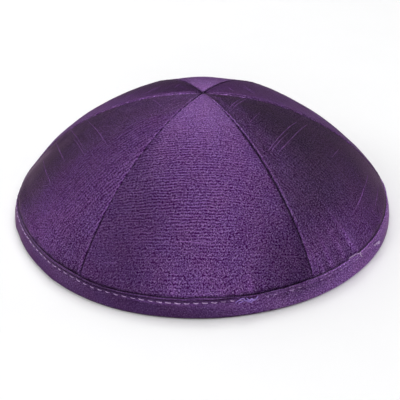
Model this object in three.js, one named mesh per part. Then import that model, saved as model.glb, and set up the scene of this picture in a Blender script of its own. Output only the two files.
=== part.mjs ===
// A kippah: a low dome sewn from six silk panels, with its raw edge bound in a folded strip.
// Sizes are in millimetres, +Z is up, and the rim rests on z = 0 with its middle over the origin.
// Azimuths are in degrees round the dome, from the front (-Y) and positive towards +X.

import * as THREE from 'three';

// The rim, which is round apart from three shallow lobes, as shares of its radius.
const RIM_RADIUS = 85;
const RIM_LOBES = { cosine: -0.004, sine: -0.007 };

// Cloth thicknesses, and the clearances that keep the pieces apart.
const PANEL_WALL = 1;
const BINDING_LEG = 1;
const CLEARANCE = 0.3;

// The binding's outer face leans in as it rises. Its slot takes the lower edge of the panels.
const BINDING_HEIGHT = 8.8;
const LEAN_PER_HEIGHT = 0.17;
const SLOT_FLOOR = 1.8;
const INNER_LEG_HEIGHT = 8;
const REST_FACE_INSET = 0.9;

// A seam's line from the crown down to the binding, a curve with a handle at each end.
// A handle's slope is in degrees below level.
const CROWN_HEIGHT = 53.8;
const CROWN_HANDLE = { length: 53.5, slope: 1.6 };
const HEM_HANDLE = { length: 4, slope: 94 };
const PANEL_FOOT = 2.1;

// A panel's tip stops this share of the seam's length short of the crown.
const PANEL_TIP = 0.004;

// The crown sits a little off the rim's middle.
const CROWN_SHIFT = { x: 0.5, y: 0.25 };

// Between its seams a panel is flatter than a round dome, by these shares of the radius.
const FLATTENING = { crown: 0.059, hem: 0.012, fadesFrom: 0.8 };

// The cloth is drawn in along a seam.
const SEAM_DEPTH = 0.45;
const SEAM_WIDTH = 1.1;

const PANELS = [
  { name: 'panel_front', from: -34.3, to: 31.2 },
  { name: 'panel_front_right', from: 31.2, to: 91.3 },
  { name: 'panel_back_right', from: 91.3, to: 149.1 },
  { name: 'panel_back', from: 149.1, to: 205.8 },
  { name: 'panel_back_left', from: 205.8, to: 263.2 },
  { name: 'panel_front_left', from: 263.2, to: 325.7 },
];

// How high the binding's upper edge stands, which the sewing pulls up and down.
const BINDING_EDGE = [
  { azimuth: -180, height: 8.6 },
  { azimuth: -120, height: 8.3 },
  { azimuth: -80, height: 8.6 },
  { azimuth: -55, height: 8.4 },
  { azimuth: -40, height: 8.6 },
  { azimuth: -27, height: 7.8 },
  { azimuth: -16, height: 7.9 },
  { azimuth: -6, height: 7.9 },
  { azimuth: 0, height: 8.6 },
  { azimuth: 7, height: 8.2 },
  { azimuth: 14, height: 8 },
  { azimuth: 22, height: 8.4 },
  { azimuth: 31, height: 8.6 },
  { azimuth: 42, height: 8.6 },
  { azimuth: 55, height: 8 },
  { azimuth: 80, height: 8.2 },
  { azimuth: 120, height: 8.4 },
  { azimuth: 180, height: 8.6 },
];

// How finely the cloth is divided.
const DOME_ROWS = 11;
const HEM_ROWS = 2;
const INNER_COLUMNS = 4;

// The two columns nearest a seam: their distance from it, and the most of the half panel it may be.
const SEAM_COLUMN = { distance: 0.8, most: 0.15 };
const SHOULDER_COLUMN = { distance: 2.6, most: 0.35 };

const BINDING_SEGMENTS = 96;

const SILK = { color: 0x5c3d74, roughness: 0.5, metalness: 0 };

const radians = THREE.MathUtils.degToRad;
const { lerp, smoothstep } = THREE.MathUtils;

// How far the rim is from round at an azimuth in radians, as a factor on every radius.
function roundness(azimuth) {
  return 1 + RIM_LOBES.cosine * Math.cos(3 * azimuth) + RIM_LOBES.sine * Math.sin(3 * azimuth);
}

function pointAt(radius, azimuth, height) {
  const reach = radius * roundness(azimuth);
  return new THREE.Vector3(reach * Math.sin(azimuth), -reach * Math.cos(azimuth), height);
}

function bindingRadius(height) {
  return RIM_RADIUS - LEAN_PER_HEIGHT * height;
}

// The radius of a panel's outer face inside the binding's slot.
function seatRadius(height) {
  return bindingRadius(height) - BINDING_LEG - CLEARANCE;
}

function handleEnd(start, handle, way) {
  const slope = radians(handle.slope);
  const step = new THREE.Vector2(Math.cos(slope), -Math.sin(slope));
  return start.clone().addScaledVector(step, way * handle.length);
}

// The seam's line in a plane of radius and height.
function seamCurve() {
  const crown = new THREE.Vector2(0, CROWN_HEIGHT);
  const hem = new THREE.Vector2(seatRadius(BINDING_HEIGHT), BINDING_HEIGHT);
  const belowCrown = handleEnd(crown, CROWN_HANDLE, 1);
  const aboveHem = handleEnd(hem, HEM_HANDLE, -1);
  return new THREE.CubicBezierCurve(crown, belowCrown, aboveHem, hem);
}

// One row of a panel for each step down a seam: where the seam is, which way is out of the cloth,
// and how much of the flattening, the seam's draw and the crown's shift is left there.
function panelRows() {
  const curve = seamCurve();
  const rows = [];
  for (let i = 0; i <= DOME_ROWS; i += 1) {
    const along = lerp(PANEL_TIP, 1, i / DOME_ROWS);
    const seam = curve.getPoint(along);
    const tangent = curve.getTangent(along);
    const fade = 1 - smoothstep(along, FLATTENING.fadesFrom, 1);
    rows.push({
      seam,
      outward: new THREE.Vector2(-tangent.y, tangent.x),
      flattening: lerp(FLATTENING.crown, FLATTENING.hem, along) * fade,
      draw: SEAM_DEPTH * fade,
      shift: (seam.y - BINDING_HEIGHT) / (CROWN_HEIGHT - BINDING_HEIGHT),
    });
  }
  for (let i = 1; i <= HEM_ROWS; i += 1) {
    const height = lerp(BINDING_HEIGHT, PANEL_FOOT, i / HEM_ROWS);
    rows.push({
      seam: new THREE.Vector2(seatRadius(height), height),
      outward: new THREE.Vector2(1, LEAN_PER_HEIGHT).normalize(),
      flattening: 0,
      draw: 0,
      shift: 0,
    });
  }
  return rows;
}

// The places across a panel, from -1 at one seam to 1 at the other, closest together by the seams.
function columnShares(halfArc) {
  const edge = 1 - Math.min(SEAM_COLUMN.distance / halfArc, SEAM_COLUMN.most);
  const beside = 1 - Math.min(SHOULDER_COLUMN.distance / halfArc, SHOULDER_COLUMN.most);
  const half = [];
  for (let i = 0; i < INNER_COLUMNS; i += 1) {
    half.push((beside * i) / INNER_COLUMNS);
  }
  half.push(beside, edge, 1);
  const left = half.slice(1).reverse().map((share) => -share);
  return [...left, ...half];
}

// A row of points across a panel, at a depth below the cloth's outer face.
function rowPoints(panel, row, depth) {
  const middle = radians((panel.from + panel.to) / 2);
  const half = radians((panel.to - panel.from) / 2);
  const radius = row.seam.x - row.outward.x * depth;
  const trimmed = half - Math.asin(CLEARANCE / 2 / radius);
  return columnShares(radius * trimmed).map((share) => {
    const turn = share * trimmed;
    const roundShare = (1 / Math.cos(turn) - 1) / (1 / Math.cos(half) - 1);
    const flat = 1 - row.flattening * (1 - roundShare);
    const fromSeam = (1 - Math.abs(share)) * radius * trimmed;
    const drawn = row.draw * Math.exp(-((fromSeam / SEAM_WIDTH) ** 2));
    const height = row.seam.y - row.outward.y * (depth + drawn);
    const point = pointAt(radius * flat - row.outward.x * drawn, middle + turn, height);
    point.x += CROWN_SHIFT.x * row.shift;
    point.y += CROWN_SHIFT.y * row.shift;
    return point;
  });
}

function geometryOf(points, triangles) {
  const geometry = new THREE.BufferGeometry().setFromPoints(points);
  geometry.setIndex(triangles.flat());
  geometry.computeVertexNormals();
  return geometry;
}

// Two triangles over four points that go round anticlockwise as seen from outside.
function quad(a, b, c, d) {
  return [[a, b, c], [a, c, d]];
}

// A wall between two grids of points that match, closed round their border.
function wallGeometry(outer, inner) {
  const rows = outer.length;
  const columns = outer[0].length;
  const count = rows * columns;
  const at = (i, j) => i * columns + j;
  const triangles = [];
  for (let i = 0; i + 1 < rows; i += 1) {
    for (let j = 0; j + 1 < columns; j += 1) {
      const corners = [at(i, j), at(i + 1, j), at(i + 1, j + 1), at(i, j + 1)];
      triangles.push(...quad(...corners));
      triangles.push(...quad(...corners.map((corner) => corner + count).reverse()));
    }
  }
  const down = [...Array(rows).keys()];
  const across = [...Array(columns).keys()];
  const border = [
    ...down.slice(0, -1).map((i) => at(i, 0)),
    ...across.slice(0, -1).map((j) => at(rows - 1, j)),
    ...down.slice(1).reverse().map((i) => at(i, columns - 1)),
    ...across.slice(1).reverse().map((j) => at(0, j)),
  ];
  border.forEach((corner, k) => {
    const next = border[(k + 1) % border.length];
    triangles.push(...quad(next, corner, corner + count, next + count));
  });
  return geometryOf([...outer.flat(), ...inner.flat()], triangles);
}

function panelGeometry(panel) {
  const rows = panelRows();
  const outer = rows.map((row) => rowPoints(panel, row, 0));
  const inner = rows.map((row) => rowPoints(panel, row, PANEL_WALL));
  return wallGeometry(outer, inner);
}

// The height of the binding's upper edge, eased from one row of the table to the next.
function edgeHeight(azimuth) {
  const wrapped = THREE.MathUtils.euclideanModulo(azimuth + 180, 360) - 180;
  const next = BINDING_EDGE.findIndex((row) => row.azimuth > wrapped);
  const before = BINDING_EDGE[next - 1];
  const after = BINDING_EDGE[next];
  return lerp(before.height, after.height, smoothstep(wrapped, before.azimuth, after.azimuth));
}

// The corners of the folded strip: its rest face, outer leg with a slight belly, a dented stitch line
// and a rolled edge, slot, and inner leg. Each is a distance in from the outer face and a height.
function bindingSection(edge) {
  const slotInner = BINDING_LEG + PANEL_WALL + 2 * CLEARANCE;
  const inside = slotInner + BINDING_LEG;
  return [
    { inward: REST_FACE_INSET, height: 0 },
    { inward: 0.2, height: 0.45 },
    { inward: 0, height: 1.4 },
    { inward: -0.2, height: edge - 4.4 },
    { inward: 0, height: edge - 2.4 },
    { inward: 0.3, height: edge - 1.3 },
    { inward: 0.1, height: edge - 0.6 },
    { inward: 0.5, height: edge },
    { inward: BINDING_LEG, height: edge - 0.3 },
    { inward: BINDING_LEG, height: SLOT_FLOOR },
    { inward: slotInner, height: SLOT_FLOOR },
    { inward: slotInner, height: INNER_LEG_HEIGHT - 0.3 },
    { inward: slotInner + BINDING_LEG / 2, height: INNER_LEG_HEIGHT },
    { inward: inside, height: INNER_LEG_HEIGHT - 0.3 },
    { inward: inside, height: 0.8 },
    { inward: inside - REST_FACE_INSET, height: 0 },
  ];
}

function bindingGeometry() {
  const points = [];
  let corners = 0;
  for (let s = 0; s < BINDING_SEGMENTS; s += 1) {
    const azimuth = (360 * s) / BINDING_SEGMENTS;
    const section = bindingSection(edgeHeight(azimuth));
    corners = section.length;
    section.forEach(({ inward, height }) => {
      points.push(pointAt(bindingRadius(height) - inward, radians(azimuth), height));
    });
  }
  const at = (s, k) => (s % BINDING_SEGMENTS) * corners + (k % corners);
  const triangles = [];
  for (let s = 0; s < BINDING_SEGMENTS; s += 1) {
    for (let k = 0; k < corners; k += 1) {
      triangles.push(...quad(at(s, k), at(s + 1, k), at(s + 1, k + 1), at(s, k + 1)));
    }
  }
  return geometryOf(points, triangles);
}

function pieceOf(name, geometry) {
  const mesh = new THREE.Mesh(geometry, new THREE.MeshStandardMaterial(SILK));
  mesh.name = name;
  return mesh;
}

// The lobes put the rim's middle a little off the axis, so the whole cap is moved back over the origin.
function centred(group) {
  const middle = new THREE.Box3().setFromObject(group).getCenter(new THREE.Vector3());
  group.position.set(-middle.x, -middle.y, 0);
  return group;
}

const kippah = new THREE.Group();
kippah.name = 'kippah';
PANELS.forEach((panel) => kippah.add(pieceOf(panel.name, panelGeometry(panel))));
kippah.add(pieceOf('rim_binding', bindingGeometry()));

export default centred(kippah);
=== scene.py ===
# A kippah of slubbed silk: six panels sewn into a dome, a bound rim, and the stitches, slubs and
# loose threads on them. Shape sizes are in millimetres, like the solids', and meshes are in metres.
# Azimuths are in degrees from the front (-Y), positive towards +X.

import bpy
import numpy as np
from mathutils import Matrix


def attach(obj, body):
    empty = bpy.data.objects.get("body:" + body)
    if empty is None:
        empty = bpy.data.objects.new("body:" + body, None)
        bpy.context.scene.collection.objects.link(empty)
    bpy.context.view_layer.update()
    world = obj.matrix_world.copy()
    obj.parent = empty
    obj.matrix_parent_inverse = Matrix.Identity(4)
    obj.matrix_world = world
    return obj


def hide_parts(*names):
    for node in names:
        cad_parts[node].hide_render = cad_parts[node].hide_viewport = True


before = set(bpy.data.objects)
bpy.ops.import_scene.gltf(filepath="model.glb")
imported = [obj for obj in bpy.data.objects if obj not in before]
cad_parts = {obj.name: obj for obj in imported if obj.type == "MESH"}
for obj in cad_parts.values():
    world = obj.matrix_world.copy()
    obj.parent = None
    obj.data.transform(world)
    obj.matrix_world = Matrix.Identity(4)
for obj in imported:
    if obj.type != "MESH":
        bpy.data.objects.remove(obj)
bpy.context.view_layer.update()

MM = 0.001

# The rim and its binding, as in the solids, but with a little more lean. The rim is a round with three low
# lobes.
RIM_RADIUS = 85.0
LOBE_COSINE = -0.004
LOBE_SINE = -0.007
BINDING_HEIGHT = 8.8
LEAN = 0.19
SLOT_FLOOR = 1.8
INNER_HEIGHT = 8.0
BINDING_DEPTH = 3.6
PANEL_FOOT = 2.1
WALL = 1.0

# The height where the rim is measured for its middle.
RIM_MEASURED_AT = 1.4

# How far the rim stands out of that round, where the cloth has been handled, and the heights between which
# this fades out.
RIM_PUSH = [
    # azimuth, push
    (-180, 0), (-103, 0.05), (-97, 0.3), (-90, 0.1), (-80, 0.72), (-74, 0.45), (-69, -0.1), (-57, -0.45),
    (-51, -0.35), (-44, 0.1), (-36, 0.2), (-28, 0.4), (-18, 0.3), (-8, 0.15), (5, 0.25), (15, 0.1),
    (27, 0.27), (39, 0.4), (46, 0.25), (53, 0), (70, 0), (84, 0.2), (100, 0), (180, 0),
]
RIM_PUSH_FADES = (7.0, 16.0)

# A seam's line from the crown to the hem at the binding: a curve with a handle at each end, which has a
# length and a slope in degrees.
CROWN_HEIGHT = 53.8
CROWN_HANDLE = (53.5, 1.6)
HEM_HANDLE = (4.0, 94.0)
HEM_RADIUS = 82.4
CURVE_STEPS = 3000

# Its seat, from the hem down into the binding. It leans out at first, then along the binding.
HEM_LEAN = 0.25
SEAT_RADIUS = 83.9
SEAT_LEAN = 0.17
SEAT_STEPS = 60

# How far the crown is off the middle.
CROWN_SHIFT = np.array([0.5, 0.25, 0])

# How much less than round a panel is between its seams, as shares of the radius, and the share of the curve
# from which that fades out.
FLAT_AT_CROWN = 0.059
FLAT_AT_HEM = 0.012
FLAT_FADES_FROM = 0.8

# The panels: their seams' azimuths and how far the grain is turned from straight.
PANELS = [
    # name, left seam, right seam, grain turn in degrees
    ("front", -34.3, 31.2, 0.0),
    ("front_right", 31.2, 91.3, -1.0),
    ("back_right", 91.3, 149.1, 1.5),
    ("back", 149.1, 205.8, -1.0),
    ("back_left", 205.8, 263.2, 1.0),
    ("front_left", 263.2, 325.7, 1.0),
]

# How each seam is sewn: how wide and deep each side's fold rolls in, the ridges left and right of it, which
# also get painted highlight, how much the stitches gather the cloth, the stretch where the fold closes
# between stitches, and how far down it is closed all along.
SEAMS = {
    # azimuth from 0 to 360: width, depth, ridge left, ridge right, gather, broken from and to, closed to
    31.2: (0.47, 1.0, 0.03, 0.24, 0.12, 16, 30, 18),
    91.3: (0.5, 0.85, 0.36, 0.1, 0.12, 22, 90, 0),
    149.1: (0.62, 1.25, 0.06, 0.06, 0.1, 0, 0, 0),
    205.8: (0.62, 1.25, 0.06, 0.06, 0.1, 0, 0, 0),
    263.2: (0.45, 0.75, 0.1, 0.36, 0.12, 14, 90, 0),
    325.7: (0.45, 0.9, 0.16, 0.03, 0.1, 5, 76, 0),
}

# Where a seam also pulls the cloth beside it into a shallow valley.
VALLEYS = {
    # azimuth: depth, its place down the seam, its length
    91.3: (0.3, 86, 14),
    149.1: (0.15, 42, 18),
    205.8: (0.7, 44, 18),
    263.2: (1.0, 88, 14),
}
VALLEY_WIDTH = 7.0

# The seams' stitch length, how wide their allowances are, how much these lift the cloth outside and stand
# off it inside, and how far from a seam its marks end.
SEAM_STITCH = 4.2
ALLOWANCE = 5.2
ALLOWANCE_LIFT = 0.1
ALLOWANCE_INSIDE = 0.35
SEAM_REACH = (14.0, 20.0)

# How high the binding's upper edge stands round the rim, and how far below it the topstitching runs.
BINDING_LINE = [
    # azimuth, edge height, stitches below the edge
    (-180, 8.6, 1.5), (-120, 8.3, 1.5), (-80, 8.4, 1.2), (-60, 8.3, 1.35), (-40, 8.6, 1.6), (-27, 7.8, 1.4),
    (-16, 8.1, 1.6), (-6, 8.2, 1.6), (0, 8.75, 1.85), (7, 8.4, 1.35), (14, 8.1, 1.45), (22, 8.4, 1.5),
    (31, 8.6, 1.6), (42, 8.6, 1.5), (55, 8.0, 1.5), (80, 8.2, 1.5), (120, 8.4, 1.5), (180, 8.6, 1.5),
]

# How much lighter or darker than the panels the strip is painted round the rim, as painted highlight and
# painted shade, how much smoother it is, and how much painted grey, as shares. Its ends meet at the front.
BINDING_PAINTED_LIGHT_AND_CALM = [
    # azimuth, share lighter as painted light, share smoother, share of painted grey
    (-180, 0, 0.3, 0.05), (-95, 0.35, 0.3, 0.05), (-60, 0.12, 0.45, 0.22), (-40, -0.03, 0.45, 0.1),
    (-29, -0.15, 0.5, 0.03), (-20, -0.24, 0.5, 0), (5, -0.24, 0.45, 0), (12, -0.05, 0.1, 0),
    (22, 0.15, 0, 0.05), (50, 1.8, -0.1, 0.06), (80, 1.2, 0, 0.07), (180, 0, 0.3, 0.05),
]

# The topstitching: how many stitches, what share of the pitch one covers, where the first one is, as a share
# of the pitch, the thread's radius, and how far above the stitches the binding is drawn in.
STITCHES_ROUND = 153
STITCH_SHARE = 0.62
FIRST_STITCH = 0.33
THREAD_RADIUS = 0.17
TROUGH_ABOVE = 1.02

# Where its stitches are tight and where they are thick: the azimuth and the half width, in degrees.
TIGHT_AT = (-68, 22)
THICK_AT = (-2, 10)

# Where they are loose in puckered cloth, and where the binding is pinched close to the cloth. Each stretch
# begins, is full from and to, and ends at these azimuths.
LOOSE_AT = [(5, 12, 72, 84)]
PINCHED_AT = [(-115, -95, -64, -48), (26, 42, 100, 120)]

# The sphere that the cloth's straight grain is laid over, and where in the silk's pattern each cut lies, so
# that no two look the same.
GRAIN_RADIUS = 85.0
PANEL_CUTS_APART = 37.0
BINDING_CUT_AT = 300.0
SLUB_CUTS_FROM = 500.0


def smoothstep(x, low, high):
    t = np.clip((x - low) / (high - low), 0, 1)
    return t * t * (3 - 2 * t)


def bell(x, middle, width):
    return np.exp(-(((x - middle) / width) ** 2))


def between(x, low, risen, falling, high):
    """1 from risen to falling, eased down to 0 at low and at high."""
    return smoothstep(x, low, risen) * (1 - smoothstep(x, falling, high))


def round_off(radius, into):
    """How far a round edge falls away, at distances into it."""
    into = np.clip(into, 0, radius)
    return radius - np.sqrt(radius**2 - into**2)


def unit(vectors):
    return vectors / np.linalg.norm(vectors, axis=-1)[..., None]


def noise(x, y, seed, size=256):
    """Smooth noise from -1 to 1, with one random value at each whole x and y, that repeats after a size."""
    lattice = np.random.default_rng(seed).uniform(-1, 1, (size, size))
    x, y = np.broadcast_arrays(np.asarray(x, float), np.asarray(y, float))
    column, row = np.floor(x).astype(int), np.floor(y).astype(int)
    across, up = smoothstep(x - column, 0, 1), smoothstep(y - row, 0, 1)

    def corner(i, j):
        return lattice[(column + i) % size, (row + j) % size]

    low = corner(0, 0) * (1 - across) + corner(1, 0) * across
    high = corner(0, 1) * (1 - across) + corner(1, 1) * across
    return low * (1 - up) + high * up


def degrees_round(azimuth):
    """Azimuths in degrees from -180 to 180, from azimuths in radians."""
    return (np.degrees(azimuth) + 180) % 360 - 180


def roundness(azimuth):
    return 1 + LOBE_COSINE * np.cos(3 * azimuth) + LOBE_SINE * np.sin(3 * azimuth)


def eased_table(table, azimuth, column=1):
    """A column of a table, eased from one row's azimuth to the next, at azimuths in radians."""
    stops = np.array(table, float)
    degrees = degrees_round(azimuth)
    after = np.clip(np.searchsorted(stops[:, 0], degrees, side="right"), 1, len(stops) - 1)
    low, high = stops[after - 1], stops[after]
    eased = smoothstep(degrees, low[..., 0], high[..., 0])
    return low[..., column] + (high[..., column] - low[..., column]) * eased


def in_stretches(stretches, azimuth):
    """1 in some stretches of the rim and 0 elsewhere, at azimuths in radians."""
    return sum(between(degrees_round(azimuth), *stretch) for stretch in stretches)


def rim_middle():
    """The middle of the rim's box as it is drawn, which the solids put over the origin."""
    azimuth = np.radians(np.arange(0, 360, 0.5))
    reach = binding_radius(RIM_MEASURED_AT) * roundness(azimuth)
    x, y = reach * np.sin(azimuth), -reach * np.cos(azimuth)
    return np.array([(x.max() + x.min()) / 2, (y.max() + y.min()) / 2, 0])


def binding_radius(height):
    return RIM_RADIUS - LEAN * height


def place(radius, azimuth, height):
    """Points at a radius, an azimuth in radians and a height, as an array of x, y and z."""
    radius, azimuth, height = np.broadcast_arrays(radius, azimuth, height)
    push = eased_table(RIM_PUSH, azimuth) * (1 - smoothstep(height, *RIM_PUSH_FADES))
    reach = radius * roundness(azimuth) + push
    return np.stack([reach * np.sin(azimuth), -reach * np.cos(azimuth), height], -1)


MIDDLE = rim_middle()


def handle_end(start, handle, way):
    """The free end of a curve's handle, which points along its slope or, for a way of -1, against it."""
    length, slope = handle
    angle = np.radians(slope)
    return start + way * length * np.array([np.cos(angle), -np.sin(angle)])


def seam_line():
    """A table down a seam, from the crown into the binding: distance, radius, height, the way out of the
    cloth as radius and height, and the share of the dome's curve that is behind."""
    share = np.linspace(0, 1, CURVE_STEPS)
    t = share[:, None]
    crown = np.array([0, CROWN_HEIGHT])
    hem = np.array([HEM_RADIUS, BINDING_HEIGHT])
    near_crown = handle_end(crown, CROWN_HANDLE, 1)
    near_hem = handle_end(hem, HEM_HANDLE, -1)
    curve = (
        (1 - t) ** 3 * crown
        + 3 * t * (1 - t) ** 2 * near_crown
        + 3 * t * t * (1 - t) * near_hem
        + t**3 * hem
    )
    height = np.linspace(BINDING_HEIGHT, PANEL_FOOT, SEAT_STEPS)[1:]
    leaning = HEM_RADIUS + HEM_LEAN * (BINDING_HEIGHT - height)
    seat = np.minimum(leaning, SEAT_RADIUS - SEAT_LEAN * height)
    curve = np.concatenate([curve, np.stack([seat, height], 1)])
    share = np.concatenate([share, np.ones(len(height))])
    step = unit(np.gradient(curve, axis=0))
    distance = np.concatenate([[0], np.cumsum(np.linalg.norm(np.diff(curve, axis=0), axis=1))])
    return distance, curve[:, 0], curve[:, 1], -step[:, 1], step[:, 0], share


SEAM_LINE = seam_line()
SEAM_END = float(SEAM_LINE[0][SEAM_LINE[5] < 1].max())
CLOTH_END = float(SEAM_LINE[0][-1])


def along_seam(distance):
    """Radius, height, way out and share at distances down a seam."""
    return [np.interp(distance, SEAM_LINE[0], column) for column in SEAM_LINE[1:]]


def seam_open(closing, down, seed):
    """How open a seam's fold is at distances down it, about 1 where it is fully open."""
    broken_from, broken_to, closed_to = closing
    open_share = 1 + 0.2 * noise(down / 3.1, seed, 11)
    if closed_to > 0:
        open_share = open_share * (0.12 + 0.88 * smoothstep(down, closed_to - 4, closed_to + 4))
    if broken_to > broken_from:
        inside = between(down, broken_from, broken_from + 5, broken_to - 5, broken_to)
        pulse = 0.5 + 0.5 * np.cos(2 * np.pi * (down / SEAM_STITCH + 0.4 * noise(down / 5, seed, 12)))
        open_share = open_share * (1 - 0.95 * inside * (1 - pulse**1.3))
    return open_share


def seam_relief(away, down, seam, left_panel, seed):
    """How far the cloth stands out of its plain surface near a seam, and its crease mark there, from 1 of
    painted shade in the fold to about -1 of painted highlight on a ridge, for the distance away from the
    seam and the distance down it."""
    width, depth, ridge_left, ridge_right, gather, *closing = SEAMS[round(seam % 360, 1)]
    open_share = seam_open(closing, down, seed)
    width, depth = width * np.sqrt(open_share), depth * open_share
    drop = depth * round_off(1, 1 - away / width)
    if seam in VALLEYS:
        sunk, middle, length = VALLEYS[seam]
        drop = drop + sunk * bell(down, middle, length) * bell(away, 0, VALLEY_WIDTH)
    over_allowance = between(away, 0.4, 1.6, ALLOWANCE - 1.2, ALLOWANCE + 1.2)
    ridge = (ridge_left if left_panel else ridge_right) * bell(away, 1.05 * width + 0.35, 0.45)
    ridge = ridge * (1 + 0.45 * noise(down / 1.3, seed, 14))
    beside = smoothstep(away, 0.1, 1.1) * np.exp(-away / 3.2)
    pucker = gather * beside * noise(down / 1.45, seed * 7 + away / 4, 13)
    near_crown = smoothstep(down, 0, 9)
    raised = (ALLOWANCE_LIFT * over_allowance + ridge + pucker) * near_crown
    crease = np.clip(1 - away / (1.35 * width), 0, 1) * np.clip(open_share, 0, 1)
    # Painted shade at the crown's point, where the seams meet.
    crease = np.maximum(crease, 0.8 * (1 - smoothstep(down, 0.6, 2.2)))
    # The ridges get painted highlight, as a crease mark below 0.
    return raised - drop, crease - np.clip(3.6 * ridge * near_crown, 0, 1.1)


# Folds that stand up from the binding, a little askew.
HEM_FOLDS = [
    # azimuth, height of the fold, its reach up the panel, its half width, its slant
    (-8, 0.12, 6, 0.9, 0),
    (13, 0.22, 6, 0.8, 0),
    (16.4, 0.18, 5, 0.8, 0),
    (33.1, 0.4, 12, 0.5, 0.02),
    (34.5, 0.3, 8, 0.5, 0.02),
    (38, 0.32, 14, 0.8, 0.04),
    (43.4, 0.4, 15, 1.0, -0.05),
    (48.4, 0.55, 16, 0.9, -0.1),
]

# How much painted highlight the folds and the ripples get for each millimetre that they stand out, and the
# ripples painted shade for each that they sink.
FOLD_HIGHLIGHT = 3.0
RIPPLE_SHADING = 1.2

# How high the ripples are all round, and where they are higher: azimuth, half width, how much.
RIPPLES = 0.13
HIGHER_RIPPLES = [(40, 9, 0.3), (62, 8, 0.22)]


def hem_ripples(azimuth, above):
    """The little upright folds over the binding, strongest at the front right, and the painted highlight and
    painted shade on them.
    """
    degrees = degrees_round(azimuth)
    strength = RIPPLES
    for at, half_width, more in HIGHER_RIPPLES:
        strength = strength + more * bell(degrees, at, half_width)
    arc = azimuth * RIM_RADIUS
    risen = np.clip(above, 0, None)
    ripples = strength * noise(arc / 2.4, above / 30, 21) * np.exp(-risen / 6.5)
    painted_shading = -RIPPLE_SHADING * ripples
    for at, high, reach, half_width, slant in HEM_FOLDS:
        off = np.radians(degrees - at) * RIM_RADIUS - slant * risen
        fold = high * bell(off, 0, half_width) * np.exp(-((risen / reach) ** 2))
        ripples, painted_shading = ripples + fold, painted_shading - FOLD_HIGHLIGHT * fold
    return ripples, painted_shading


# Where the cloth bulges over the binding and half how wide, in degrees, and how far.
HEM_BULGE = (-76, 15, 0.5)

# The swells in a panel's cloth: height, length across, length down, and the first panel's seed.
SWELLS = [(0.34, 27, 24, 30), (0.12, 9, 10, 40)]

# How far the back panel is sunk, and the distance down and half length of that.
BACK_SUNK = 0.25
BACK_SUNK_AT = (38, 16)


def under_edge(azimuth, above, over_edge):
    """How far a panel stands out close to the binding's edge, how far it is in the gap under the edge, which
    gets painted shade, and how strong that painted shade is, less where the binding is pinched, for heights
    above the hem and over the edge."""
    arc = azimuth * RIM_RADIUS
    at, half_width, high = HEM_BULGE
    bulge = smoothstep(above, -0.3, 1.3) * bell(above, 1.3, 4.5)
    stand = high * bell(degrees_round(azimuth), at, half_width) * bulge
    stand = stand - 0.12 * bell(over_edge, 0.2, 0.8)
    stand = stand + 0.3 * noise(arc / 1.2, 0.5, 23) * bell(over_edge, 0.75, 0.4)
    pinched = in_stretches(PINCHED_AT, azimuth)
    ragged = 0.2 - 0.25 * pinched + (0.35 + 0.2 * pinched) * noise(arc / 0.9, 0.5, 22)
    return stand, 1 - smoothstep(over_edge, ragged, ragged + 0.35), 1 - 0.4 * pinched


def panel_surface(number, down, turn, lift=0.0, inside=False):
    """Points of a panel and its crease mark, painted shade in seams and in the gap under the binding and,
    below
    0, painted highlight on ridges and folds, for distances down it, turns from its middle in radians, and a
    lift off it."""
    name, left, right, _ = PANELS[number]
    middle, half = np.radians((left + right) / 2), np.radians((right - left) / 2)
    azimuth = middle + turn
    radius, height, out_r, out_z, share = along_seam(down)
    flattening = FLAT_AT_CROWN * (1 - share) + FLAT_AT_HEM * share
    flattening = flattening * (1 - smoothstep(share, FLAT_FADES_FROM, 1))
    round_share = (1 / np.cos(turn) - 1) / (1 / np.cos(half) - 1)
    base = radius * (1 - flattening * (1 - round_share))
    above = SEAM_END - down
    hem_fade = smoothstep(above, 0, 3)
    stand = np.zeros(np.broadcast(down, turn).shape)
    crease = np.zeros(stand.shape)
    for side, seam in ((-1, left), (1, right)):
        away = (half - side * turn) * radius
        if inside:
            flap = 1 - smoothstep(away, ALLOWANCE - 0.3, ALLOWANCE + 0.3)
            stand -= ALLOWANCE_INSIDE * flap * smoothstep(down, 1, 6) * hem_fade
        else:
            relief, depth = seam_relief(away, down + 0 * away, seam, side > 0, int(round(seam)) % 360)
            near = 1 - smoothstep(away, *SEAM_REACH)
            stand += relief * near * (0.3 + 0.7 * hem_fade)
            crease += depth * near
    if inside:
        stand -= WALL
    else:
        edge = np.minimum(half - turn, half + turn) * radius
        calm = smoothstep(edge, 1, 9) * hem_fade
        for high, across, along, seed in SWELLS:
            stand += high * calm * noise(turn * radius / across + 40, down / along, seed + number)
        ripples, painted_shading = hem_ripples(azimuth, above)
        over_binding = smoothstep(above, -1, 0.5)
        stand += ripples * over_binding
        if name == "back":
            stand -= BACK_SUNK * bell(down, *BACK_SUNK_AT)
        relief, in_gap, gap_shade = under_edge(azimuth, above, height - edge_height(azimuth))
        stand += relief
        # Painted highlight and painted shade on the folds over the binding, and painted shade in the gap
        # under its edge.
        crease += painted_shading * over_binding
        crease += (gap_shade - crease) * in_gap
    stand = stand + lift
    shift = np.clip((height - BINDING_HEIGHT) / (CROWN_HEIGHT - BINDING_HEIGHT), 0, 1)[..., None]
    points = place(base + out_r * stand, azimuth, height + out_z * stand)
    return points + shift * CROWN_SHIFT - MIDDLE, crease


def grain_of(down, turn, degrees):
    """Where points lie on the cloth as it was cut: across the weft's line and down from the crown."""
    angle = down / GRAIN_RADIUS
    across = GRAIN_RADIUS * np.arcsin(np.sin(angle) * np.sin(turn))
    along = GRAIN_RADIUS * np.arctan2(np.sin(angle) * np.cos(turn), np.cos(angle))
    return across, along + across * np.tan(np.radians(degrees))


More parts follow.
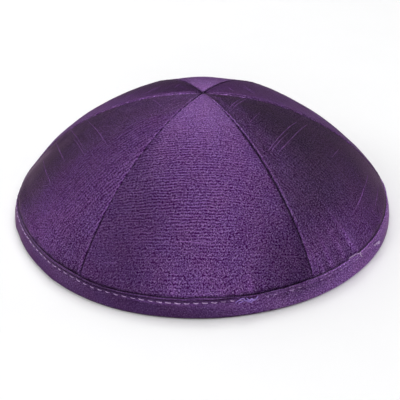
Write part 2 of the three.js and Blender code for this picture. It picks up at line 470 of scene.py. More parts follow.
def from_grain(across, along):
    """The distance down and the turn of a point of the flat cloth."""
    x, y = across / GRAIN_RADIUS, along / GRAIN_RADIUS
    return GRAIN_RADIUS * np.arccos(np.cos(x) * np.cos(y)), np.arctan2(np.sin(x), np.cos(x) * np.sin(y))


def add_object(name, data):
    made = bpy.data.objects.new(name, data)
    bpy.context.scene.collection.objects.link(made)
    return made


# What the silk's material reads at each point of a mesh.
MARKS = ("crease", "painted_light", "calm", "painted_grey")


def mesh_object(name, points, faces, material, grain=None, marks=()):
    """A smooth mesh of points in millimetres. grain is each point's place on the flat cloth. marks holds the
    silk's crease, painted shade from 1 deep in a fold and painted highlight to -1 on a ridge, and its
    painted
    light, calm and painted grey: how much painted highlight or painted shade, how much smoother, and how
    much painted grey it gets, as shares."""
    mesh = bpy.data.meshes.new(name)
    mesh.from_pydata((points * MM).tolist(), [], [list(map(int, face)) for face in faces])
    mesh.polygons.foreach_set("use_smooth", np.ones(len(mesh.polygons), bool))
    if grain is not None:
        cloth = mesh.attributes.new("cloth", "FLOAT_VECTOR", "POINT")
        cloth.data.foreach_set("vector", grain.astype(np.float32).ravel())
        corners = np.empty(len(mesh.loops), np.int32)
        mesh.loops.foreach_get("vertex_index", corners)
        uv = mesh.uv_layers.new(name="Grain")
        uv.uv.foreach_set("vector", (grain[corners, :2] * MM).astype(np.float32).ravel())
    for key, values in dict(marks).items():
        attribute = mesh.attributes.new(key, "FLOAT", "POINT")
        attribute.data.foreach_set("value", values.astype(np.float32).ravel())
    mesh.materials.append(material)
    mesh.update()
    return add_object(name, mesh)


def grid_faces(rows, columns, wrap_rows=False, wrap_columns=False):
    """The quads of a grid of points, numbered row by row."""
    i = np.arange(rows if wrap_rows else rows - 1)
    j = np.arange(columns if wrap_columns else columns - 1)
    i, j = (a.ravel() for a in np.meshgrid(i, j, indexing="ij"))
    row, next_row = i * columns, (i + 1) % rows * columns
    next_column = (j + 1) % columns
    return np.stack([row + j, next_row + j, next_row + next_column, row + next_column], 1)


# Where each panel's silk gets painted highlight or painted shade, lighter or darker than the rest, and
# where it is smoother, or rougher.
PANEL_PATCHES = {
    # azimuth, distance down, half width in degrees, half length, share lighter as painted light, share
    # smoother
    "front": [(-2, 12, 60, 20, 0.25, 0.1), (-24, 90, 12, 26, 0, 0.3), (-26, 50, 8, 22, 0.12, 0)],
    "front_right": [
        (60, 40, 60, 60, -0.1, 0), (42, 92, 16, 10, 0.6, 0), (46, 72, 14, 14, -0.1, 0),
        (66, 48, 22, 34, -0.25, 0), (86, 84, 12, 20, -0.15, 0),
    ],
    "back_right": [(105, 30, 30, 40, -0.25, 0.2)],
    "back": [(180, 4, 60, 14, 0.58, 0)],
    "back_left": [(250, 30, 30, 40, -0.3, 0.2)],
    "front_left": [(274, 82, 16, 24, -0.4, 0.1), (314, 60, 16, 50, -0.1, 0)],
}

# Where the painted shade over one half of the front left panel ends, and how much painted shade and how
# much painted grey it gets there.
DARK_EDGE = [
    # distance down, azimuth
    (12, 327), (21, 319), (27, 309), (33, 303), (49, 298), (66, 293.5), (80, 293.5), (95, 298),
]
DARK_HALF = (0.04, 0.09)

# How much painted grey the front right panel gets for how much painted shade, and the others for how much
# painted highlight, which counts up to a most.
PAINTED_GREY_SHARE = 0.3
LIGHTER_COUNTS_TO = 0.25


def panel_marks(number, down, turn):
    """How much painted highlight or painted shade a panel's silk gets, how much smoother it is than the
    rest, and how much painted grey, as shares.
    """
    name, left, right, _ = PANELS[number]
    degrees = (left + right) / 2 + np.degrees(turn)
    lighter = np.zeros(np.broadcast(down, turn).shape)
    smoother = lighter
    for azimuth, distance, half_width, half_length, light, smooth in PANEL_PATCHES[name]:
        share = bell(degrees, azimuth, half_width) * bell(down, distance, half_length)
        lighter, smoother = lighter + light * share, smoother + smooth * share
    if name == "front_left":
        # Painted shade over the half beyond the edge, with painted grey.
        edge = np.interp(down, *np.transpose(DARK_EDGE)) + 2 * noise(down / 9, 0.5, 24)
        dark = 1 - smoothstep(degrees, edge - 5, edge + 1)
        return lighter - DARK_HALF[0] * dark, smoother, DARK_HALF[1] * dark
    if name == "front_right":
        return lighter, smoother, PAINTED_GREY_SHARE * np.clip(-lighter, 0, 1)
    return lighter, smoother, PAINTED_GREY_SHARE * np.clip(lighter, 0, LIGHTER_COUNTS_TO)


# A panel's mesh: its rows over the dome and in the binding, its columns beside each seam and on each side of
# its middle, how wide the band beside a seam is, and how far from the crown its tip ends.
PANEL_ROWS = 176
HEM_ROWS = 10
EDGE_COLUMNS = 12
MIDDLE_COLUMNS = 24
EDGE_BAND = 5.0
TIP = 0.05


def panel_turns(radius, half):
    """The turns of a panel's columns in each row, closest together beside the seams."""
    arc = radius * half
    band = np.minimum(EDGE_BAND, 0.45 * arc)
    near = band[:, None] * (np.arange(EDGE_COLUMNS) / EDGE_COLUMNS)[None] ** 1.8
    rest = np.linspace(0, 1, MIDDLE_COLUMNS + 1)[None]
    away = np.concatenate([near, band[:, None] + (arc - band)[:, None] * rest], 1)
    left = -(1 - away / arc[:, None]) * half
    return np.concatenate([left, -left[:, -2::-1]], 1)


def make_panel(number, material):
    name, left, right, grain_turn = PANELS[number]
    half = np.radians((right - left) / 2)
    down = np.concatenate([
        np.linspace(TIP, SEAM_END, PANEL_ROWS),
        np.linspace(SEAM_END, CLOTH_END, HEM_ROWS + 1)[1:],
    ])[:, None]
    turns = panel_turns(along_seam(down[:, 0])[0], half)
    rows, columns = turns.shape
    outer, crease = panel_surface(number, down, turns)
    inner, _ = panel_surface(number, down, turns, inside=True)
    across, along = grain_of(down, turns, grain_turn)
    cut = np.full(turns.shape, number * PANEL_CUTS_APART)
    grain = np.stack([across, along, cut], -1).reshape(-1, 3)
    faces = grid_faces(rows, columns)
    count = rows * columns
    at = np.arange(count).reshape(rows, columns)
    border = np.concatenate([at[:-1, 0], at[-1, :-1], at[:0:-1, -1], at[0, :0:-1]])
    after = np.roll(border, -1)
    rim = np.stack([after, border, border + count, after + count], 1)
    faces = np.concatenate([faces, faces[:, ::-1] + count, rim])
    points = np.concatenate([outer.reshape(-1, 3), inner.reshape(-1, 3)])
    marks = {}
    for key, values in zip(MARKS, (crease, *panel_marks(number, down, turns))):
        marks[key] = np.concatenate([values.ravel(), np.zeros(values.size)])
    piece = mesh_object("silk_panel_" + name, points, faces, material, np.tile(grain, (2, 1)), marks)
    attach(piece, "root")
    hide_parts("panel_" + name)
    return piece


def edge_height(azimuth):
    """The height of the binding's upper edge at azimuths in radians."""
    line = eased_table(BINDING_LINE, azimuth)
    arc = azimuth * RIM_RADIUS
    return line + 0.08 * noise(arc / 3.7, 0.5, 50) + 0.07 * noise(arc / 1.1, 0.5, 54)


def stitch_depth(azimuth):
    """How far below the binding's edge the topstitching runs at azimuths in radians."""
    return eased_table(BINDING_LINE, azimuth, 2)


def tight_and_thick(azimuth):
    """How tight and how thick the topstitching is at one azimuth in radians, from 0 to 1."""
    return [float(bell(degrees_round(azimuth), *where)) for where in (TIGHT_AT, THICK_AT)]


def sewing_sunk(azimuth):
    """How far the topstitching has sunk into the cloth there, most where the sewing is loose."""
    tight, thick = tight_and_thick(azimuth)
    return float(0.12 + 0.22 * in_stretches(LOOSE_AT, azimuth) - 0.15 * thick - 0.12 * tight)


def binding_relief(azimuth, below):
    """How far the binding's outer face is drawn in, at azimuths in radians and distances below its edge,
    and its crease mark, painted shade in the sewn trough and painted highlight on the lip above it."""
    arc = azimuth * RIM_RADIUS
    slack = in_stretches(LOOSE_AT, azimuth)
    pull = 0.5 + 0.5 * np.cos((azimuth + np.pi) * STITCHES_ROUND - 2 * np.pi * FIRST_STITCH)
    sewn_at = stitch_depth(azimuth)
    line = bell(below, sewn_at - TROUGH_ABOVE, 0.2) * (0.8 + 0.3 * noise(arc / 1.1, 0.5, 53))
    trough = (0.3 - 0.15 * slack) * line
    trough = trough + (0.22 + 0.12 * pull) * (1 - 0.5 * slack) * bell(below, sewn_at, 0.5)
    lip = bell(below, sewn_at - TROUGH_ABOVE - 0.5, 0.3)
    belly = 0.28 * bell(below, 4.6, 2.2) + 0.1 * bell(below, 7.6, 1.6)
    pucker = (0.07 + 0.17 * slack) * noise((arc + 0.9 * below) / 1.7, below / 5, 51) * np.exp(-below / 3)
    slow = 0.14 * noise(arc / 11 + below / 9, below / 6, 52)
    return trough - 0.12 * lip - belly + pucker + slow, 1.7 * line * (1 - 0.5 * slack) - 0.3 * lip


def binding_face(azimuth, below, lift=0.0):
    """Points on the binding's outer face, at distances below its upper edge."""
    height = edge_height(azimuth) - below
    radius = binding_radius(height) - binding_relief(azimuth, below)[0] + lift
    return place(radius, azimuth, height) - MIDDLE


# The binding's steps round the rim and up each leg, the radii of its foot, lip and inner top, how far in the
# slot starts and ends, and how snug the lip is to the panels, also where it is pinched.
BINDING_STEPS = STITCHES_ROUND * 8
FACE_STEPS = 38
INNER_STEPS = 18
FOLD_RADIUS = 0.7
LIP_RADIUS = 0.5
TOP_RADIUS = 0.6
LEG = 0.85
SLOT_INNER = 2.6
SNUG = 0.07
SNUG_PINCHED = 0.1


def outer_leg(azimuth, edge):
    """The binding's outer leg, from the rest face up to the edge: how far in from the plain face it is, its
    height, and its painted shade and painted highlight, with painted shade along the fold at the bottom."""
    height = np.linspace(0, 1, FACE_STEPS)[None] ** 0.6 * edge
    below = edge - height
    relief, painted_shading = binding_relief(azimuth, below)
    inward = relief * smoothstep(height, -0.6, 0.8) + round_off(FOLD_RADIUS, FOLD_RADIUS - height)
    inward = inward + round_off(LIP_RADIUS, LIP_RADIUS - below)
    return inward, height, painted_shading + 0.8 * (1 - smoothstep(height, 0.1, 1.1))


def slot_sides(azimuth, edge):
    """The slot that the panels stand in, from the edge to the inner leg's top: how far in it is, and its
    height."""
    snug = SNUG + SNUG_PINCHED * in_stretches(PINCHED_AT, azimuth)
    corners = [
        (LEG - 0.2 + snug, edge - 0.04),
        (LEG - 0.05 + snug, edge - 0.3),
        (LEG, edge - 1.2),
        (LEG, SLOT_FLOOR),
        (SLOT_INNER, SLOT_FLOOR),
        (SLOT_INNER, INNER_HEIGHT - 0.5),
        (SLOT_INNER + 0.1, INNER_HEIGHT - 0.15),
        (SLOT_INNER + 0.35, INNER_HEIGHT),
    ]
    return [np.concatenate([value + 0 * azimuth for value in column], 1) for column in zip(*corners)]


def inner_leg(azimuth, edge):
    """The binding's inner leg, from its top down to the rest face: how far in it is, and its height."""
    height = np.linspace(INNER_HEIGHT - 0.1, 0, INNER_STEPS)[None] + 0 * azimuth
    inward = BINDING_DEPTH - round_off(TOP_RADIUS, height - (INNER_HEIGHT - TOP_RADIUS))
    inward = inward - round_off(FOLD_RADIUS, FOLD_RADIUS - height)
    drawn = 0.25 * bell(height, edge - stitch_depth(azimuth), 0.6)
    drawn = drawn + 0.06 * noise(azimuth * RIM_RADIUS / 3, height / 3, 55)
    return inward - drawn * smoothstep(height, 0.3, 1.5), height


def make_binding(material):
    azimuth = (np.arange(BINDING_STEPS) / BINDING_STEPS * 2 * np.pi - np.pi)[:, None]
    edge = edge_height(azimuth)
    outer, outer_height, painted_shading = outer_leg(azimuth, edge)
    hidden, hidden_height = slot_sides(azimuth, edge)
    inner, inner_height = inner_leg(azimuth, edge)
    inward = np.concatenate([outer, hidden, inner], 1)
    height = np.concatenate([outer_height, hidden_height, inner_height], 1)
    points = place(binding_radius(height) - inward, azimuth, height) - MIDDLE
    # The strip is cut on the slant.
    steps = np.hypot(np.diff(inward), np.diff(height))
    section = np.concatenate([np.zeros(azimuth.shape), np.cumsum(steps, 1)], 1)
    around = azimuth * RIM_RADIUS + 0 * section
    slant = np.sqrt(0.5)
    cut = np.full(section.shape, BINDING_CUT_AT)
    grain = np.stack([(around + section) * slant, (section - around) * slant, cut], -1)
    # The slot's sides, under the edge, get full painted shade, all but the first step.
    in_slot = np.ones(hidden.shape)
    in_slot[:, 0] = 0
    marks = {"crease": np.concatenate([painted_shading, in_slot, np.zeros(inner.shape)], 1)}
    for column, key in enumerate(MARKS[1:], 1):
        marks[key] = eased_table(BINDING_PAINTED_LIGHT_AND_CALM, around / RIM_RADIUS, column)
    faces = grid_faces(*section.shape, wrap_rows=True, wrap_columns=True)
    piece = mesh_object("silk_binding", points.reshape(-1, 3), faces, material, grain.reshape(-1, 3), marks)
    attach(piece, "root")
    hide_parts("rim_binding")
    return piece


def tube(path, out, thickness, flatness=1.0, sides=8):
    """A closed tube along points, with a thickness for each and the way out of the cloth there."""
    along = unit(np.gradient(path, axis=0))
    side = unit(np.cross(along, out))
    up = np.cross(side, along)
    angle = np.arange(sides) / sides * 2 * np.pi
    across, rise = np.cos(angle)[None, :, None], flatness * np.sin(angle)[None, :, None]
    ring = across * side[:, None] + rise * up[:, None]
    points = (path[:, None] + thickness[:, None, None] * ring).reshape(-1, 3)
    count = len(path)
    faces = [tuple(face) for face in grid_faces(count, sides, wrap_columns=True)]
    ends = [tuple(range(sides)), tuple(range(count * sides - 1, (count - 1) * sides - 1, -1))]
    return points, faces + ends


def join(tubes):
    """The points and faces of several tubes as one mesh's."""
    points, faces, start = [], [], 0
    for part_points, part_faces in tubes:
        points.append(part_points)
        faces += [tuple(int(i) + start for i in face) for face in part_faces]
        start += len(part_points)
    return np.concatenate(points), faces


def sew_on(name, tubes, material):
    """One piece of the thread on the binding, from its tubes."""
    piece = mesh_object(name, *join(tubes), material)
    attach(piece, "root")


def radial(points):
    """The level ways out from the rim's middle through points."""
    return unit((points + MIDDLE) * np.array([1, 1, 0]))


# A stitch: its points, how high its middle lies and how far its ends dive, and how far the cloth inside is
# drawn in under it.
STITCH_STEPS = 11
STITCH_RISE = 0.17
STITCH_DIVE = 0.55
DRAWN_INSIDE = 0.22


def stitch(middle, length, thickness, on_inside, sink):
    """One stitch, lying on the cloth and diving in at its ends."""
    share = np.linspace(-1, 1, STITCH_STEPS)
    azimuth = middle + share * length / 2 / RIM_RADIUS
    rise = STITCH_RISE - STITCH_DIVE * np.abs(share) ** 4 - sink
    if on_inside:
        height = edge_height(azimuth) - stitch_depth(azimuth)
        radius = binding_radius(height) - BINDING_DEPTH + DRAWN_INSIDE - rise
        path = place(radius, azimuth, height) - MIDDLE
        return tube(path, -radial(path), np.full(STITCH_STEPS, thickness))
    path = binding_face(azimuth, stitch_depth(azimuth) + 0.06 * np.sin(share * 2), rise)
    return tube(path, radial(path), np.full(STITCH_STEPS, thickness))


def make_stitches(name, on_inside, material):
    pitch = 2 * np.pi / STITCHES_ROUND
    random = np.random.default_rng(7)
    stitches = []
    for number in range(STITCHES_ROUND):
        middle = (number + 0.5 + FIRST_STITCH) * pitch - np.pi
        tight, thick = tight_and_thick(middle)
        length = (STITCH_SHARE + 0.2 * tight) * pitch * RIM_RADIUS * random.uniform(0.85, 1.15)
        thickness = THREAD_RADIUS * (1 + 0.3 * thick + 0.2 * tight) * random.uniform(0.85, 1.2)
        sink = 0.0 if on_inside else sewing_sunk(middle) * random.uniform(0.4, 1.2)
        stitches.append(stitch(middle, length, thickness, on_inside, sink))
    sew_on(name, stitches, material)


# Slubs seen in the photo, each by where it lies on a panel's flat cloth.
SLUBS = [
    # panel, from and to across the cloth, distance along the cloth at each end, thickness
    (5, -26.4, 4.3, 49.6, 49.6, 0.2),
    (5, -27.8, -3.7, 78.6, 78.6, 0.18),
    (5, -31.8, -8.3, 68.6, 68.6, 0.2),
    (5, -29.5, -4.5, 58.6, 58.6, 0.17),
    (1, -16.4, 13.3, 41.7, 41.7, 0.2),
    (1, -15.8, 0.5, 43.1, 43.1, 0.16),
    (1, -15.0, 17.2, 45.8, 45.8, 0.2),
    (1, -7.8, 8.7, 16.0, 16.0, 0.18),
    (1, -6.5, 9.8, 17.7, 17.7, 0.16),
    (1, -7.6, 24.0, 86.0, 81.6, 0.26),
    (1, 10.3, 28.0, 92.0, 89.5, 0.22),
    (1, 8.6, 18.8, 63.6, 63.6, 0.18),
    (0, -34.5, -26.5, 86.6, 86.6, 0.14),
]

# The others are drawn at random: how many, the ranges of their distance along the cloth, length and
# thickness, and how much of the panel's width they keep to. Then the mesh of every slub.
SLUBS_ELSEWHERE = 44
SLUB_LINES = (14, 90)
SLUB_LENGTHS = (5, 24)
SLUB_THICKNESSES = (0.08, 0.16)
SLUB_REACH = 0.86
SLUB_STEPS = 26
SLUB_SIDES = 6
SLUB_FLATNESS = 0.55


def slub(number, start, end, first_line, last_line, thickness, seed):
    """A thick place in one weft yarn, that swells and thins along its length."""
    across = np.linspace(start, end, SLUB_STEPS)
    line = np.linspace(first_line, last_line, SLUB_STEPS)
    wander = 0.18 * noise(across / 6, seed, 61)
    down, turn = from_grain(across, line + wander)
    share = np.linspace(0, 1, SLUB_STEPS)
    size = thickness * np.sin(np.pi * share) ** 0.5 * (0.8 + 0.4 * noise(across / 1.6, seed, 62)) + 0.01
    path, _ = panel_surface(number, down, turn)
    out = panel_surface(number, down, turn, lift=1.0)[0] - path
    points, faces = tube(path + 0.1 * size[:, None] * out, out, size, SLUB_FLATNESS, SLUB_SIDES)
    grain = np.stack([across, line + wander, np.full(SLUB_STEPS, SLUB_CUTS_FROM + seed)], -1)
    return points, faces, np.repeat(grain, SLUB_SIDES, axis=0)


def make_slubs(material):
    slubs = [slub(*row, seed) for seed, row in enumerate(SLUBS)]
    random = np.random.default_rng(19)
    for seed in range(SLUBS_ELSEWHERE):
        number = int(random.integers(2, 5)) if seed % 4 else int(random.choice([0, 1, 5]))
        line = random.uniform(*SLUB_LINES)
        half = np.radians((PANELS[number][2] - PANELS[number][1]) / 2)
        widest = GRAIN_RADIUS * np.arcsin(np.sin(line / GRAIN_RADIUS) * np.sin(half)) * SLUB_REACH
        length = min(random.uniform(*SLUB_LENGTHS), widest)
        start = random.uniform(-widest, widest - length)
        thickness = random.uniform(*SLUB_THICKNESSES)
        slubs.append(slub(number, start, start + length, line, line, thickness, 100 + seed))
    points, faces = join([row[:2] for row in slubs])
    piece = mesh_object("slubs", points, faces, material, np.concatenate([row[2] for row in slubs]))
    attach(piece, "root")


# Threads that have worked loose on the binding, and stitches that have lifted.
LOOSE_THREADS = [
    # azimuth in degrees, distance below the edge, lift
    [(8.6, 2.3, -0.2), (9.2, 1.4, 0.3), (10, 0.4, 0.6), (10.6, 0.1, 0.7), (11.3, 1.5, 0.6), (11.8, 0.8, 0.8),
     (12.5, 2, 0.6), (13.2, 1.3, 0.7), (14, 0.9, 0.5), (14.7, 0.4, -0.1)],
    [(9.4, 2.4, -0.2), (10.2, 1.6, 0.5), (11.1, 0.8, 0.9), (11.9, 1.7, 0.7), (12.7, 1.1, 0.6),
     (13.6, 1.9, -0.1)],
    [(11.4, 0.3, 0.3), (12.2, 0.9, 0.9), (12.8, 0.5, 0.9), (13.6, 1.4, 0.6), (14.2, 1.5, -0.1)],
]
LIFTED_STITCHES = [
    [(44.6, -0.7, -0.3), (45.6, -1.5, 0.5), (46.9, -1.9, 1), (48.2, -1.6, 1), (49.4, -0.6, 0.3),
     (49.9, 0.6, -0.1)],
    [(49.6, 0.6, 0), (50.1, 1.5, 0.35), (50.7, 2.4, -0.2)],
    [(57.6, 2.6, -0.2), (58.6, 2.2, 0.5), (60.2, 2.6, 0.6), (61.8, 4.8, -0.2)],
    [(58.1, 3.1, -0.1), (59.2, 2.8, 0.5), (60.6, 3.5, 0.5), (61.5, 3.2, -0.1)],
]
PATH_STEPS = 9


def smooth_path(stops, steps):
    """A Catmull-Rom curve through points."""
    points = np.array(stops, float)
    padded = np.concatenate([[2 * points[0] - points[1]], points, [2 * points[-1] - points[-2]]])
    at = np.linspace(0, len(points) - 1, steps)
    i = np.minimum(at.astype(int), len(points) - 2)
    t = (at - i)[:, None]
    a, b, c, d = (padded[i + k] for k in range(4))
    return 0.5 * (2 * b + (c - a) * t + (2 * a - 5 * b + 4 * c - d) * t**2 + (3 * b - a - 3 * c + d) * t**3)


def make_threads(name, threads, thickness, flatness, material):
    tubes = []
    for stops in threads:
        azimuth, below, lift = smooth_path(stops, PATH_STEPS * len(stops)).T
        path = binding_face(np.radians(azimuth), below, lift)
        tubes.append(tube(path, radial(path), np.full(len(path), thickness), flatness))
    sew_on(name, tubes, material)


# How much painted shade darkens the silk at the bottom of a seam, fold or gap, and how much painted
# highlight lightens it on a ridge or fold.
CREASE_SHADE = 0.55
RIDGE_LIGHT = 0.8

# The colour that the silk's gloss turns to at a glancing angle.
EDGE_TINT = (0.4, 0.26, 0.46, 1)

# The palest yarns, seen as specks.
PALE_YARN = (0.27, 0.18, 0.35, 1)

# The painted grey that goes with painted highlight and painted shade, as a full share adds it to the violet.
PAINTED_GREY = (0.05, 0.1, 0.01)

# The brown of the yarns that cross the violet ones, which shows where the cloth turns away.
SHEEN_TINT = (1.0, 0.84, 0.72, 1)


class Shader:
    """A short way to add nodes to a material. An input is a value, or a node's output to link."""

    def __init__(self, name):
        self.material = bpy.data.materials.new(name)
        self.material.use_nodes = True
        self.tree = self.material.node_tree
        self.tree.nodes.clear()

    def node(self, kind, inputs=(), **settings):
        made = self.tree.nodes.new(kind)
        for key, value in settings.items():
            setattr(made, key, value)
        for key, value in dict(inputs).items():
            if isinstance(value, bpy.types.NodeSocket):
                self.tree.links.new(value, made.inputs[key])
            else:
                made.inputs[key].default_value = value
        return made

    def math(self, operation, *values):
        return self.node("ShaderNodeMath", dict(enumerate(values)), operation=operation).outputs[0]

    def vector(self, operation, *values):
        return self.node("ShaderNodeVectorMath", dict(enumerate(values)), operation=operation)

    def scaled(self, vector, scale):
        return self.vector("MULTIPLY", vector, scale).outputs[0]

    def mixed(self, share, first, second):
        """A colour between two, at a share that is kept from 0 to 1."""
        inputs = {0: share, 6: first, 7: second}
        return self.node("ShaderNodeMix", inputs, data_type="RGBA", clamp_factor=True).outputs[2]

    def noise(self, vector, scale, detail=2.0, roughness=0.5):
        vector = self.scaled(vector, scale)
        inputs = {"Vector": vector, "Scale": 1.0, "Detail": detail, "Roughness": roughness}
        return self.node("ShaderNodeTexNoise", inputs).outputs["Fac"]

    def knots(self, vector, scale):
        """The distance from scattered points, about 0 to 0.9."""
        inputs = {"Vector": self.scaled(vector, scale), "Scale": 1.0, "Randomness": 0.9}
        return self.node("ShaderNodeTexVoronoi", inputs, voronoi_dimensions="2D").outputs["Distance"]

    def ramp(self, value, low, high, to_low=0.0, to_high=1.0):
        inputs = {0: value, 1: low, 2: high, 3: to_low, 4: to_high}
        return self.node("ShaderNodeMapRange", inputs, interpolation_type="SMOOTHSTEP").outputs[0]

    def crests(self, phase):
        """A wave with narrow crests and wide troughs, from -0.8 to 1.2."""
        wave = self.math("MULTIPLY_ADD", self.math("SINE", phase), 0.5, 0.5)
        return self.math("MULTIPLY_ADD", self.math("POWER", wave, 1.8), 2.0, -0.8)

    def weighted(self, *terms):
        """The sum of terms, each a value and a weight, with every value taken from its middle of a half."""
        total = 0.0
        for value, weight in terms:
            total = self.math("MULTIPLY_ADD", self.math("SUBTRACT", value, 0.5), weight, total)
        return total

    def finish(self, shader):
        self.node("ShaderNodeOutputMaterial", {"Surface": shader.outputs[0]})
        return self.material


def silk(name, dark, light, weft, warp, pressed=(-8.0, 58.0), anisotropy=1.0, sheen=0.06):
    """Silk with ribs and streaks along the weft and the warp, slubs, and a sheen that runs down the warp.
    weft and warp are how strong the ribs along them are, and pressed is where on a panel's flat cloth they
    stand out most."""
    s = Shader(name)
    cloth = s.node("ShaderNodeAttribute", attribute_name="cloth").outputs["Vector"]
    painted_shading, painted_light, calm, painted_grey = (
        s.node("ShaderNodeAttribute", attribute_name=key).outputs["Fac"]
        for key in MARKS
    )
    across, along, _ = s.node("ShaderNodeSeparateXYZ", {0: cloth}).outputs
    turning = {"Vector": cloth, "Angle": 0.6}
    turned = s.node("ShaderNodeVectorRotate", turning, rotation_type="Z_AXIS").outputs[0]
    # The weave's parts, each as a pattern on the flat cloth.
    streak = s.noise(cloth, (0.16, 0.85, 1.0), 2.0, 0.6)
    grain = s.math("MULTIPLY_ADD", s.knots(turned, (1.3, 1.45, 1.0)), -1.0, 0.95)
    pick = s.noise(cloth, (2.1, 2.6, 1.0), 1.0, 0.6)
    run = s.noise(cloth, (1.3, 0.2, 1.0), 2.0, 0.6)
    specks = s.ramp(s.noise(turned, (1.7, 1.8, 1.0), 0.0), 0.6, 0.74)
    slubs = s.ramp(s.noise(cloth, (0.07, 1.1, 1.0), 1.0, 0.4), 0.66, 0.76)
    blotch = s.noise(cloth, (0.045, 0.05, 1.0))
    hue = s.ramp(s.noise(cloth, (0.11, 0.09, 2.0)), 0.3, 0.7)
    weft_phase = s.math("MULTIPLY", s.noise(cloth, (0.2, 0.22, 1.0), 1.5), 8.0)
    weft_ribs = s.crests(s.math("MULTIPLY_ADD", along, 5.03, weft_phase))
    warp_phase = s.math("MULTIPLY", s.noise(cloth, (0.3, 0.2, 1.0), 2.0, 0.6), 13.0)
    warp_ribs = s.crests(s.math("MULTIPLY_ADD", across, 4.4, warp_phase))
    ribs = s.math("MULTIPLY_ADD", weft_ribs, 0.5 * weft, s.math("MULTIPLY", warp_ribs, 0.32 * warp))
    patches = s.ramp(s.noise(cloth, (0.09, 0.1, 1.0), 1.0), 0.3, 0.62, 0.5, 1.0)
    way = s.vector("SUBTRACT", cloth, (*pressed, 0.0)).outputs[0]
    distance = s.vector("LENGTH", s.scaled(way, (1.0, 0.8, 0.0))).outputs["Value"]
    near_pressed = s.ramp(distance, 10.0, 36.0, 1.0, 0.25)
    ribs = s.math("MULTIPLY_ADD", s.math("MULTIPLY", ribs, patches), near_pressed, 0.5)
    # The colour, from the dark yarns to the light ones, then its painted shade, painted highlight and
    # painted grey.
    shade = s.weighted(
        (streak, 0.5), (grain, 0.95), (pick, 2.2), (run, 0.5 * warp), (ribs, 0.5), (blotch, 0.3),
        (specks, 0.3),
    )
    lively = s.math("SUBTRACT", 1.0, calm)
    contrast = s.math("MULTIPLY", s.ramp(along, 12.0, 46.0, 0.75, 1.0), lively)
    shade = s.math("MULTIPLY_ADD", shade, contrast, 0.495)
    shade = s.math("MULTIPLY_ADD", slubs, 0.2, shade)
    cool = tuple(c * tint for c, tint in zip(light, (0.97, 1.0, 1.045, 1)))
    warm = tuple(c * tint for c, tint in zip(light, (1.035, 0.99, 0.985, 1)))
    colour = s.mixed(shade, dark, s.mixed(hue, cool, warm))
    pale_share = s.math("MULTIPLY", specks, s.math("MULTIPLY", 0.5, lively))
    colour = s.mixed(pale_share, colour, PALE_YARN)
    # Painted shade and painted highlight from the crease mark, and painted light from the marks.
    painted_light_factor = s.math("MULTIPLY_ADD", s.math("MAXIMUM", painted_shading, 0.0), -CREASE_SHADE, s.math("ADD", painted_light, 1.0))
    painted_light_factor = s.math("MULTIPLY_ADD", s.math("MINIMUM", painted_shading, 0.0), -RIDGE_LIGHT, painted_light_factor)
    colour = s.vector("MULTIPLY_ADD", colour, painted_light_factor, s.scaled(painted_grey, PAINTED_GREY)).outputs[0]
    height = s.weighted((streak, 0.5), (grain, 0.6), (pick, 0.7), (run, 0.3 * warp), (ribs, 0.35))
    height = s.math("MULTIPLY_ADD", slubs, 0.4, height)
    bump = s.node("ShaderNodeBump", {"Strength": 0.8, "Distance": 0.14 * MM, "Height": height})
    rough = s.math("MULTIPLY_ADD", pick, 0.12, 0.32)
    tangent = s.node("ShaderNodeTangent", direction_type="UV_MAP", uv_map="Grain")
    shader = s.node("ShaderNodeBsdfPrincipled", {
        "Base Color": colour,
        "Metallic": 0.8,
        "Roughness": rough,
        "Normal": bump.outputs[0],
        "Tangent": tangent.outputs[0],
        "Specular IOR Level": 0.0,
        "Specular Tint": EDGE_TINT,
        "Anisotropic": anisotropy,
        "Anisotropic Rotation": 0.25,
        "Sheen Weight": sheen,
        "Sheen Roughness": 0.4,
        "Sheen Tint": SHEEN_TINT,
    })
    return s.finish(shader)


def thread(name, dark, light):
    """Twisted sewing thread, a little glossy."""
    s = Shader(name)
    spot = s.node("ShaderNodeTexCoord").outputs["Object"]
    twist = s.ramp(s.noise(spot, (1100, 1100, 1100), 3.0, 0.7), 0.35, 0.65)
    bump = s.node("ShaderNodeBump", {"Strength": 0.4, "Distance": 0.08 * MM, "Height": twist})
    shader = s.node("ShaderNodeBsdfPrincipled", {
        "Base Color": s.mixed(twist, dark, light),
        "Roughness": s.math("MULTIPLY_ADD", twist, 0.2, 0.3),
        "Normal": bump.outputs[0],
        "Sheen Weight": 0.3,
        "Sheen Tint": (0.8, 0.7, 0.95, 1),
    })
    return s.finish(shader)


def paper(name, colour):
    """Plain paper, a little mottled."""
    s = Shader(name)
    mottle = s.noise(s.node("ShaderNodeTexCoord").outputs["Object"], (30, 30, 30), 3.0)
    lighter = tuple(min(1.0, 1.02 * c) for c in colour[:3]) + (1,)
    inputs = {"Base Color": s.mixed(mottle, colour, lighter), "Roughness": 0.9}
    return s.finish(s.node("ShaderNodeBsdfPrincipled", inputs))


# The camera, from the photo: what it looks at, how far off, its elevation in degrees and its lens.
CAMERA_TARGET = np.array([-0.724, 0, -0.701])
CAMERA_DISTANCE = 359.0
CAMERA_ELEVATION = 32.38
CAMERA_LENS = 69.06


def make_camera():
    angle = np.radians(CAMERA_ELEVATION)
    target = CAMERA_TARGET - MIDDLE
    back = np.array([0, -np.cos(angle), np.sin(angle)])
    data = bpy.data.cameras.new("camera")
    data.lens = CAMERA_LENS
    data.clip_start = 0.01
    camera = add_object("camera", data)
    camera.location = (target + back * CAMERA_DISTANCE) * MM
    camera.rotation_euler = (np.pi / 2 - angle, 0, 0)
    bpy.context.scene.camera = camera


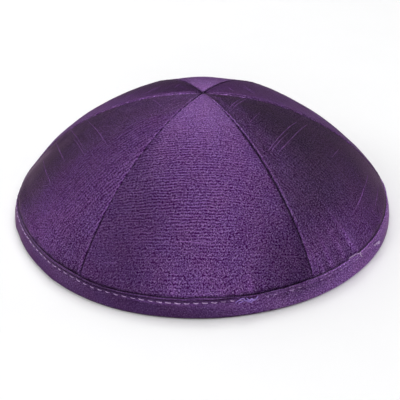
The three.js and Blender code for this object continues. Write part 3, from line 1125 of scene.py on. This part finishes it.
# The soft lights, round discs turned to the kippah, and the faint white all round. Sizes here are in metres.
LIGHTS = [
    # name, azimuth, elevation, watts
    ("front_low", 0, 12, 6.1),
    ("front_high", 0, 38, 1.1),
    ("top_right", 60, 64, 4.2),
    ("top_back", 180, 64, 6.9),
    ("back", 200, 38, 2.0),
    ("left_high", -80, 38, 2.7),
    ("left_low", -108, 12, 3.8),
    ("front_left", -40, 38, 1.5),
    ("right_low", 108, 12, 2.4),
]
LIGHT_SIZE = 0.8
LIGHT_DISTANCE = 1.2
LIT_HEIGHT = 0.02
WORLD_LIGHT = 0.02


def make_lights():
    for name, azimuth, elevation, watts in LIGHTS:
        a, e = np.radians([azimuth, elevation])
        way = np.array([np.sin(a) * np.cos(e), -np.cos(a) * np.cos(e), np.sin(e)])
        data = bpy.data.lights.new(name, "AREA")
        data.shape = "DISK"
        data.size = LIGHT_SIZE
        data.energy = watts
        lamp = add_object(name, data)
        lamp.location = way * LIGHT_DISTANCE + np.array([0, 0, LIT_HEIGHT])
        lamp.rotation_euler = (np.pi / 2 - e, 0, a)
    world = bpy.data.worlds.new("studio")
    world.use_nodes = True
    background = world.node_tree.nodes["Background"]
    background.inputs["Color"].default_value = (1, 1, 1, 1)
    background.inputs["Strength"].default_value = WORLD_LIGHT
    bpy.context.scene.world = world
    bpy.context.scene.view_settings.view_transform = "Standard"


# The floor, in millimetres again.
FLOOR_HALF = 3000.0
FLOOR_BELOW = 0.1
FLOOR_COLOUR = (0.92, 0.92, 0.925, 1)


def make_floor():
    corners = [(-1, -1), (1, -1), (1, 1), (-1, 1)]
    points = np.array([(FLOOR_HALF * x, FLOOR_HALF * y, -FLOOR_BELOW) for x, y in corners])
    floor = mesh_object("floor", points, [(0, 1, 2, 3)], paper("floor_paper", FLOOR_COLOUR))


make_camera()
make_lights()
make_floor()

# The colours, the dark and the light of each.
SILK = ((0.026, 0.0, 0.044, 1), (0.172, 0.082, 0.246, 1))
SLUB_SILK = ((0.12, 0.05, 0.18, 1), (0.34, 0.15, 0.46, 1))
SEWING_THREAD = ((0.18, 0.085, 0.24, 1), (0.50, 0.33, 0.60, 1))
VIOLET_THREAD = ((0.12, 0.05, 0.28, 1), (0.33, 0.18, 0.6, 1))

silk_cloth = silk("silk", *SILK, weft=1.5, warp=0.1)
left_cloth = silk("silk_left", *SILK, weft=0.4, warp=2.2, pressed=(20.0, 50.0), sheen=0.13)
right_cloth = silk("silk_right", *SILK, weft=0.2, warp=1.2, sheen=0.14)
binding_cloth = silk("binding_silk", *SILK, weft=0.3, warp=0.3, sheen=0.12)
slub_yarn = silk("slub_silk", *SLUB_SILK, weft=0.0, warp=0.0, anisotropy=0.3)
sewing_thread = thread("sewing_thread", *SEWING_THREAD)
violet_thread = thread("violet_thread", *VIOLET_THREAD)

PANEL_CLOTH = {"front_left": left_cloth, "front_right": right_cloth}
panels = [make_panel(number, PANEL_CLOTH.get(row[0], silk_cloth)) for number, row in enumerate(PANELS)]
binding = make_binding(binding_cloth)
make_stitches("stitches_outside", on_inside=False, material=sewing_thread)
make_stitches("stitches_inside", on_inside=True, material=sewing_thread)
make_slubs(slub_yarn)
make_threads("loose_threads", LOOSE_THREADS, 0.2, flatness=1.0, material=violet_thread)
make_threads("lifted_stitches", LIFTED_STITCHES, 0.28, flatness=0.7, material=sewing_thread)
